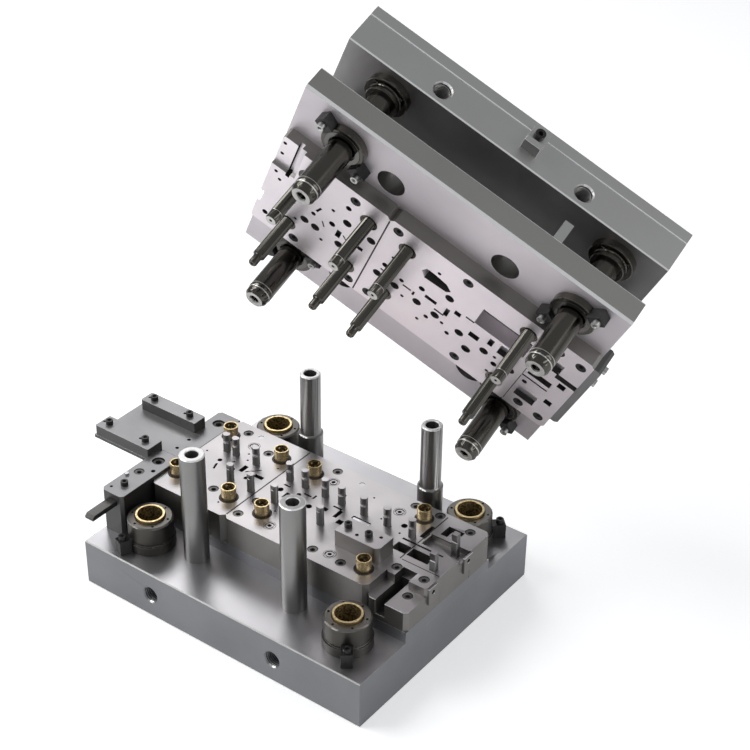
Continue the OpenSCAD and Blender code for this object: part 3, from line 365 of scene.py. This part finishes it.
def enclosed(tree, centre, normal):
    """The room in front of a face that looks into a hole or a slot of its own piece, or None."""
    start = centre + normal * OFF_FACE * MM
    across = tree.ray_cast(start, normal, REACH)
    if across[0] is not None:
        return across[3]
    aside = normal.orthogonal().normalized()
    hits = 0
    for step in range(SLANTED_RAYS):
        spin = Matrix.Rotation(step * 2 * math.pi / SLANTED_RAYS, 3, normal)
        slanted = normal * OUTWARD + spin @ aside * SIDEWAYS
        hits += tree.ray_cast(start, slanted, REACH)[0] is not None
    return 0.0 if hits >= WALLS_NEEDED else None


print("rays reach", REACH, "m")

# %% [markdown]
# ## A finish for each kind of face
# A look lists up to five finishes: for level faces, walls, the insides of holes, broken edges, and the
# insides of slots that are wide enough to let light in. The finishes for level faces and walls are a lit
# and a shaded copy of one steel, the insides of holes get painted shade, and broken edges a painted
# highlight: all of this is painted light. Level means level in the closed die, so the normals of the
# upper half are turned back first.

# %% Paint the faces
UPRIGHT = carried_up(0).to_3x3().inverted()
LEVEL_FACE, WALL, INSIDE, BROKEN_EDGE, WIDE_INSIDE = range(5)
LEVEL_SLOPE = 0.7
EDGE_SLOPES = (0.6, 0.8)
WIDE = 22.5 * MM


def paint(piece, look, upper):
    """Gives each face of a piece the finish of its kind."""
    mesh = piece.data
    mesh.materials.clear()
    for material in look:
        mesh.materials.append(material)
    if len(look) == 1:
        return
    corners = [vertex.co for vertex in mesh.vertices]
    tree = BVHTree.FromPolygons(corners, [face.vertices[:] for face in mesh.polygons])
    for face in mesh.polygons:
        normal = face.normal.copy()
        slope = abs((UPRIGHT @ normal).z if upper else normal.z)
        face.material_index = LEVEL_FACE if slope > LEVEL_SLOPE else WALL
        room = enclosed(tree, face.center.copy(), normal) if len(look) > INSIDE else None
        if room is not None:
            wide = len(look) > WIDE_INSIDE and room > WIDE
            face.material_index = WIDE_INSIDE if wide else INSIDE
        elif len(look) > BROKEN_EDGE and EDGE_SLOPES[0] < slope < EDGE_SLOPES[1]:
            face.material_index = BROKEN_EDGE


print("slots wider than", WIDE, "m are light inside")

# %% [markdown]
# ## Material slots
# The record names seven material slots, one for each kind of surface, so that a later user can repaint
# a whole kind at once.

# %% [markdown]
# ## Ground edges on every piece
# A solid from CAD has edges of no width, and light never catches them. On a real die every edge is
# broken with a stone, and the thin bright line along it is what makes a plate look like steel. Each
# solid is therefore copied, its triangles are welded and flattened into whole faces, and a narrow bevel
# is cut along every sharp edge. One flat bevel face is right here: a ground chamfer is flat, too.

# %% Give a solid its broken edges
WELD = 2e-6
FLAT_DEGREES = 0.5
SHARP_DEGREES = 62
SMOOTH_DEGREES = 28
UPPER_BODIES = ("top_half", "stripper", "turning_rod")


def deselect():
    if bpy.context.object and bpy.context.object.mode != "OBJECT":
        bpy.ops.object.mode_set(mode="OBJECT")
    bpy.ops.object.select_all(action="DESELECT")


def pick(piece):
    deselect()
    piece.hide_set(False)
    piece.select_set(True)
    bpy.context.view_layer.objects.active = piece


def edged(node, width, look):
    """Welds a copy of a solid, breaks its edges by width in metres and gives it its finishes."""
    source = frame["nodes"][node]
    body = source["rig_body"]
    piece = bpy.data.objects.new(node + "_finished", source.data.copy())
    bpy.context.scene.collection.objects.link(piece)
    pick(piece)
    bpy.ops.object.mode_set(mode="EDIT")
    bpy.ops.mesh.select_all(action="SELECT")
    bpy.ops.mesh.remove_doubles(threshold=WELD)
    bpy.ops.mesh.dissolve_limited(angle_limit=math.radians(FLAT_DEGREES))
    bpy.ops.object.mode_set(mode="OBJECT")
    bevel = piece.modifiers.new("broken_edges", "BEVEL")
    bevel.width = width
    bevel.segments = 1
    bevel.limit_method = "ANGLE"
    bevel.angle_limit = math.radians(SHARP_DEGREES)
    bpy.ops.object.modifier_apply(modifier=bevel.name)
    bpy.ops.object.shade_smooth_by_angle(angle=math.radians(SMOOTH_DEGREES))
    paint(piece, look, body in UPPER_BODIES)
    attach(piece, body)
    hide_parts(node)


print("edges sharper than", SHARP_DEGREES, "degrees are broken")

# %% [markdown]
# ## Looks
# Pieces that are made in the same way on the real die share one look. Each look gets a name here, so
# that the long table of pieces stays readable.

# %% Name the looks
# The fourth finish of a look, for broken edges, is paler than the faces, as a painted highlight.
BLUED = (SHOE, SHOE_SHADED_WALL, OIL_AND_PAINTED_SHADE, BRIGHT)
FEEDING = (FEED, FEED_SHADED_WALL, OIL_AND_PAINTED_SHADE, SHOE)
PLATE = (GROUND, GROUND_SHADED_WALL, OIL_AND_PAINTED_SHADE, EDGE_HIGHLIGHT)
MILLED = (TOP_SHOE_SHADED_FACE, TOP_LIT_WALL, OIL_AND_PAINTED_SHADE, EDGE_HIGHLIGHT)
STRIPPING = (STRIPPER, STRIPPER_SHADED_WALL, BORED_SHADED_WALL, EDGE_HIGHLIGHT)
INSERTED = (WORKING, INSERT_SHADED_WALL, OIL_AND_PAINTED_SHADE, EDGE_HIGHLIGHT, WORKING)
TURNED = (POST_LIT_FACE, POST, OIL_AND_PAINTED_SHADE, EDGE_HIGHLIGHT)
BUSHED = (OILED_FACE, OILED, OIL_AND_PAINTED_SHADE)
CAGED = (BRONZE, BRONZE, SHADED_CAGE_INSIDE)
BUSHED_BLACK = (OIL_AND_PAINTED_SHADE, OILED)
LIFTING = (GROUND, LIFTER)
PLUGGED = (GROUND, OIL_AND_PAINTED_SHADE)
SUNK = (HEAD, OIL_AND_PAINTED_SHADE)
TIPPED = (TIP, PILLAR)
OILY = (PILLAR,)
BLACKENED = (BLACK,)
print("looks named")

# %% [markdown]
# ## Edge widths
# A toolmaker takes more off the edge of a large plate than off a small pin. One width for all would
# either vanish on the shoe or eat up the screws. So the table groups the pieces by the width of their
# edges, in millimetres, and says which look goes with each.

# %% Finish every solid
EDGES = {
    0.6: [
        ("lower_shoe", BLUED), ("top_shoe", MILLED), ("top_plate", MILLED), ("stripper_plate", STRIPPING),
        ("entry_bar", FEEDING),
    ],
    0.4: [
        ("backing_plate", BLUED), ("left_die_plate", PLATE), ("middle_die_plate", PLATE),
        ("end_front_block", PLATE), ("end_bridge_plate", PLATE), ("end_centre_block", PLATE),
        ("end_back_block", PLATE), ("raised_block", PLATE), ("feed_table", FEEDING),
        ("front_rail", FEEDING), ("back_rail", FEEDING), ("punch_plate", MILLED), ("left_insert", INSERTED),
        ("middle_insert", INSERTED), ("end_insert", INSERTED), ("strap_block", MILLED),
        ("end_strap", FEEDING), ("stand_off_bar", (BRIGHT,)),
    ],
    0.3: [
        ("outer_bushes", BUSHED), ("front_posts", TURNED), ("back_posts", TURNED),
        ("lower_clamps", BLACKENED), ("upper_clamps", BLACKENED), ("stripper_bushes", OILY),
        ("pillar_collars", OILY), ("finger_stop", (HEAD,)), ("end_covers", PLATE),
        ("die_insert", (INSERT,)), ("inner_bushes", BUSHED_BLACK), ("pin_sleeves", OILY),
        ("spool_bolts", BLACKENED),
    ],
    0.2: [
        ("guide_pillars", TIPPED), ("front_guide_pins", TIPPED), ("back_guide_pins", OILY),
        ("outer_ball_cages", CAGED), ("inner_ball_cages", CAGED), ("lifters", LIFTING),
        ("end_lifters", LIFTING), ("ring_plugs", PLUGGED), ("die_dowels", (SHOE,)),
        ("die_screws", SUNK), ("m6_screws", BLACKENED), ("m10_screws", BLACKENED),
        ("top_screws", BLACKENED), ("strap_screw", BLACKENED), ("punch_plate_screws", BLACKENED),
        ("round_punches", (LIFTER,)), ("shaped_punches", (LIFTER,)), ("gas_springs", BLACKENED),
        ("bush_rings", (DULL,)), ("upper_m6_screws", (BRIGHT,)), ("insert_screws", BLACKENED),
        ("gas_rods", (BRIGHT,)), ("knockout_rod", (LIFTER,)), ("lifter_springs", (URETHANE,)),
    ],
}
for width, members in EDGES.items():
    for node, look in members:
        edged(node, width * MM, look)
print("solids finished:", sum(len(members) for members in EDGES.values()))

# %% [markdown]
# ## Feet of the back posts
# The back posts are thicker below a step. The step lies level, so the rule above would give it the bright
# finish of the post's end, which is painted light, and a bright painted ring would stand round each post.
# Picking faces by hand would fail when a size changes, so all faces below one height get the finish of the
# wall.

# %% Dull the steps
FOOT_HEIGHT = 150 * MM
for face in bpy.data.objects["back_posts_finished"].data.polygons:
    if face.center.z < FOOT_HEIGHT:
        face.material_index = WALL
print("feet dulled below", FOOT_HEIGHT, "m")

# %% [markdown]
# ## Springs that shorten
# The lifters sink by 20 mm as the die closes, and the urethane springs under them shorten by as much. A
# rigid copy can't do that, so the springs' copy gets a mesh of its own.

# %% Give the springs a mesh of their own
springs = bpy.data.objects["lifter_springs_finished"]
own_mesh(springs)

# %% [markdown]
# ## Oil in the joints
# The die plates and the stripper inserts are ground to meet without a gap, and oil collects in the small
# groove between their broken edges. A thin black strip fills each groove. The strips leave out the
# places where a punch passes.

# %% Fill the joints
STRIP_HEIGHT = 0.44
LOWER_STRIP = 125.6
UPPER_STRIP = 126.96
LOWER_JOINTS = [
    ("plates", (-66.0, -83), (2.0, 172)),
    ("bar", (-190.0, -83), (1.0, 166)),
    ("front_blocks", (163.1, -20), (1.8, 32)),
    ("back_blocks", (163.1, 17), (1.8, 67)),
    ("centre", (167, -20.7), (56, 1.4)),
    ("back", (167, 42.3), (56, 1.4)),
]
UPPER_JOINTS = [
    ("left_insert", (-66.0, -84), (2.0, 173)),
    ("end_insert_front", (163.5, -86), (1.0, 98)),
    ("end_insert_back", (163.5, 17), (1.0, 69)),
]


def joint_line(label, corner, size, height, body, matrix):
    """A black strip from its lower left corner, with its size along X and Y, all in millimetres."""
    deselect()
    bpy.ops.mesh.primitive_cube_add(size=1)
    strip = bpy.context.object
    strip.name = "joint_of_" + label
    whole = Vector((*size, STRIP_HEIGHT))
    place = Vector((*corner, height)) + whole * 0.5
    strip.data.transform(matrix @ Matrix.Translation(place * MM) @ Matrix.Diagonal((*(whole * MM), 1)))
    strip.data.materials.append(OIL_AND_PAINTED_SHADE)
    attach(strip, body)


for label, corner, size in LOWER_JOINTS:
    joint_line(label, corner, size, LOWER_STRIP, "lower_half", Matrix.Identity(4))
for label, corner, size in UPPER_JOINTS:
    joint_line(label, corner, size, UPPER_STRIP, "stripper", carried_up(STRIPPER_LIFT))
print("joints filled:", len(LOWER_JOINTS) + len(UPPER_JOINTS))

# %% [markdown]
# ## Grooves round the plugs
# Five plugs with a hexagon socket sit in the die plates, and oil fills the fine groove round each. It
# could be cut into the plate with a Boolean, but that breaks up the clean faces that the bevel needs. A
# flat black torus that is let into the surface looks the same.

# %% Draw the grooves
RING_PLUGS = [(-134, 54), (-6, -68), (90, -67), (1, 55), (108, 56)]
GROOVE_RADIUS = 8.1 * MM
GROOVE_WIDTH = 0.5 * MM
GROOVE_HEIGHT = 125.95
GROOVE_SQUEEZE = 0.2
for x, y in RING_PLUGS:
    deselect()
    bpy.ops.mesh.primitive_torus_add(
        location=(0, 0, 0), major_radius=GROOVE_RADIUS, minor_radius=GROOVE_WIDTH, major_segments=48,
        minor_segments=6,
    )
    groove = bpy.context.object
    groove.name = "groove_of_plug"
    low = Matrix.Diagonal((1, 1, GROOVE_SQUEEZE, 1))
    groove.data.transform(Matrix.Translation(Vector((x, y, GROOVE_HEIGHT)) * MM) @ low)
    groove.data.materials.append(OIL_AND_PAINTED_SHADE)
    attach(groove, "lower_half")
print("grooves drawn:", len(RING_PLUGS))

# %% [markdown]
# ## Threads in the lifting holes
# Each shoe has two tapped M24 holes for lifting eyes. A thread is a small ridge that winds around the
# wall of the hole. One triangle is drawn beside the axis, and the Screw modifier winds it along the
# hole. Its base lies a little inside the wall, so that ridge and wall read as one piece.

# %% Measures of a thread
HOLE_RADIUS = 10.5 * MM
PITCH = 3.0 * MM
THREAD_DEPTH = 34 * MM
RIDGE_HEIGHT = 1.1 * MM
IN_THE_WALL = 0.1 * MM
HALF_RIDGE = 0.46
FIRST_TURN = 3.2 * MM
STEPS_A_TURN = 40
print("turns in each thread:", int(THREAD_DEPTH / PITCH))


# %% Wind a thread
def close_ends(ridge):
    """Welds the wound ridge and closes its two open ends."""
    bpy.ops.object.mode_set(mode="EDIT")
    bpy.ops.mesh.select_all(action="SELECT")
    bpy.ops.mesh.remove_doubles(threshold=1e-6)
    bpy.ops.mesh.select_all(action="DESELECT")
    bpy.ops.mesh.select_non_manifold()
    bpy.ops.mesh.edge_face_add()
    bpy.ops.mesh.select_all(action="SELECT")
    bpy.ops.mesh.normals_make_consistent(inside=False)
    bpy.ops.object.mode_set(mode="OBJECT")


def thread(name, mouth, body, matrix, material):
    """A thread ridge in a hole whose mouth looks along -Y."""
    deselect()
    bpy.ops.mesh.primitive_circle_add(vertices=3, radius=PITCH * 0.5, location=(0, 0, 0))
    ridge = bpy.context.object
    ridge.name = name
    base = HOLE_RADIUS + IN_THE_WALL
    half = PITCH * HALF_RIDGE
    points = [(base, 0, -half), (HOLE_RADIUS - RIDGE_HEIGHT, 0, 0), (base, 0, half)]
    for vertex, point in zip(ridge.data.vertices, points):
        vertex.co = point
    wind = ridge.modifiers.new("wind", "SCREW")
    wind.screw_offset = PITCH
    wind.iterations = int(THREAD_DEPTH / PITCH)
    wind.steps = STEPS_A_TURN
    wind.render_steps = STEPS_A_TURN
    wind.use_normal_calculate = True
    bpy.ops.object.modifier_apply(modifier=wind.name)
    close_ends(ridge)
    lie_down = Matrix.Translation(Vector(mouth) * MM) @ Matrix.Rotation(math.radians(-90), 4, "X")
    start = Matrix.Translation((0, 0, FIRST_TURN))
    ridge.data.transform(matrix @ lie_down @ start)
    ridge.data.materials.append(material)
    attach(ridge, body)
    print(name, "has", len(ridge.data.polygons), "faces")


thread("lower_thread_left", (-112, -182.5, 34), "lower_half", Matrix.Identity(4), SHOE_SHADED_WALL)
thread("lower_thread_right", (90, -182.5, 34), "lower_half", Matrix.Identity(4), SHOE_SHADED_WALL)
thread("upper_thread_left", (-104, -170, 247.5), "top_half", carried_up(TOP_LIFT), TOP_LIT_WALL)
thread("upper_thread_right", (96, -170, 247.5), "top_half", carried_up(TOP_LIFT), TOP_LIT_WALL)

# %% [markdown]
# ## Balls in the cages
# The pillars roll in their bushes on hundreds of small balls, each held in a pocket of the bronze cage.
# One low sphere is made, and its copies are joined into one piece for each kind of cage. The balls lie
# in a screw pattern, so that no two run in the same track.


# %% Fill the cages with balls
def ball_rows(name, centres, body, radius, ring, top, rows, per_row, row_step, shift):
    """Rows of balls on a ring about each centre, each row turned by shift of one ball's share."""
    deselect()
    bpy.ops.mesh.primitive_ico_sphere_add(subdivisions=2, radius=radius, location=(0, 0, 0))
    master = bpy.context.object
    bpy.ops.object.shade_smooth()
    copies = []
    for x, y in centres:
        for row in range(rows):
            for step in range(per_row):
                angle = 2 * math.pi * (step + 0.5 + row * shift) / per_row
                across = Vector((math.cos(angle), math.sin(angle), 0)) * ring
                place = Vector((x * MM, y * MM, top - row * row_step)) + across
                ball = bpy.data.objects.new(name, master.data.copy())
                ball.data.transform(Matrix.Translation(place))
                bpy.context.scene.collection.objects.link(ball)
                copies.append(ball)
    deselect()
    for ball in copies:
        ball.select_set(True)
    bpy.context.view_layer.objects.active = copies[0]
    bpy.ops.object.join()
    joined = bpy.context.object
    joined.name = name
    joined.data.materials.clear()
    joined.data.materials.append(BALL)
    bpy.data.objects.remove(master)
    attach(joined, body)
    print(name + ":", len(copies))


OUTER_CENTRES = [(-155, -130), (167, -130), (-155, 130), (167, 130)]
INNER_CENTRES = [(x, s * y) for x, y in ((-175, 54), (-86, 54), (-30, 54), (141, 64)) for s in (-1, 1)]
ball_rows("outer_balls", OUTER_CENTRES, "outer_cages", 1.65 * MM, 17.75 * MM, 109 * MM, 7, 16, 5 * MM, 0.37)
ball_rows("inner_balls", INNER_CENTRES, "inner_cages", 0.9 * MM, 9 * MM, 138.5 * MM, 4, 6, 3 * MM, 0.25)

# %% [markdown]
# ## Floor
# The ground of a product shot is white. A floor that is bright enough to look white by lamps alone would
# also fill every shadow of the steel. So it is a pale matt plane that keeps the object's shadow, and it
# glows a little where the camera sees it and less where the steel mirrors it.

# %% Lay the floor
FLOOR_SIZE = 30
GLOW_SEEN = 0.42
GLOW_MIRRORED = 0.1
deselect()
bpy.ops.mesh.primitive_plane_add(size=FLOOR_SIZE, location=(0, 0, 0))
floor = bpy.context.object
floor.name = "studio_floor"
ground = Finish("studio_floor")
rays = ground.tree.nodes.new("ShaderNodeLightPath")
seen = Signal(ground, rays.outputs["Is Camera Ray"])
mirrored = Signal(ground, rays.outputs["Is Glossy Ray"])
ground.set(Base_Color=tone(0.9, 0.9, 0.9), Roughness=0.9, Emission_Color=tone(1, 1, 1))
ground.set(Specular_IOR_Level=0.0)
glow = seen * GLOW_SEEN + mirrored * GLOW_MIRRORED
ground.connect(ground.shader.inputs["Emission Strength"], glow)
floor.data.materials.append(ground.material)
print("floor laid:", FLOOR_SIZE, "m wide")

# %% [markdown]
# ## Sky
# A plain white sky would wash out the steel, which mirrors it, and a dim one would leave a grey
# backdrop. The Light Path node tells the two apart: the sky is dim and cool for the steel that mirrors
# it, and white for the camera.

# %% Paint the sky
SKY_LIGHT = 0.45
SKY_SEEN_MORE = 0.9
world = bpy.data.worlds.new("studio")
bpy.context.scene.world = world
world.use_nodes = True
backdrop = world.node_tree.nodes["Background"]
backdrop.inputs["Color"].default_value = tone(0.75, 0.77, 0.80)
straight = world.node_tree.nodes.new("ShaderNodeLightPath")
strength = world.node_tree.nodes.new("ShaderNodeMath")
strength.operation = "MULTIPLY_ADD"
strength.inputs[1].default_value = SKY_SEEN_MORE
strength.inputs[2].default_value = SKY_LIGHT
world.node_tree.links.new(straight.outputs["Is Camera Ray"], strength.inputs[0])
world.node_tree.links.new(strength.outputs[0], backdrop.inputs["Strength"])
print("sky painted")

# %% [markdown]
# ## Lamps
# Polished steel shows what stands around it, so three large cards of light do more than small lamps. The
# key card stands at the upper left. A weak one behind gives the shoe its sheen, and another weak one
# stands at the right, so that the walls on that side don't go black.

# %% Set up the cards
LAMPS = [
    ("key_card", (-1.6, -0.9, 2.3), (0, 0, 0.2), 1.6, 1.6, 42),
    ("back_card", (-1.7, 1.6, 2.0), (-0.05, -0.1, 0.1), 1.3, 1.0, 12),
    ("right_card", (2.4, 0.4, 1.2), (0, 0, 0.3), 1.2, 1.6, 14),
]


def softbox(name, place, target, width, height, power):
    """A card of light at a place that faces a target, with its size in metres and power in watts."""
    light = bpy.data.lights.new(name, "AREA")
    light.shape = "RECTANGLE"
    light.size = width
    light.size_y = height
    light.energy = power
    lamp = bpy.data.objects.new(name, light)
    bpy.context.scene.collection.objects.link(lamp)
    lamp.location = place
    lamp.rotation_euler = (Vector(target) - Vector(place)).to_track_quat("-Z", "Y").to_euler()


for card in LAMPS:
    softbox(*card)
print("lamps:", len(LAMPS))

# %% [markdown]
# ## Camera
# A camera could be aimed with a constraint, but its place, direction and roll are known as numbers, so
# they are set directly. It has a long lens, looks down by about 33 degrees and is rolled by less than
# one degree.

# %% Place the camera
CAMERA_PLACE = Vector((1162.1, -1430.7, 1506.3)) * MM
CAMERA_LOOK = Vector((-0.4992, 0.6769, -0.5409))
CAMERA_ROLL = 0.75
camera_data = bpy.data.cameras.new("camera")
camera_data.sensor_width = 36
camera_data.lens = 85.22
camera = bpy.data.objects.new("camera", camera_data)
bpy.context.scene.collection.objects.link(camera)
aim = CAMERA_LOOK.to_track_quat("-Z", "Y").to_matrix().to_4x4()
roll = Matrix.Rotation(math.radians(CAMERA_ROLL), 4, "Z")
camera.matrix_world = Matrix.Translation(CAMERA_PLACE) @ aim @ roll
bpy.context.scene.camera = camera
bpy.context.scene.view_settings.view_transform = "Standard"
print("camera looks down by", round(math.degrees(math.asin(-CAMERA_LOOK.z)), 1), "degrees")
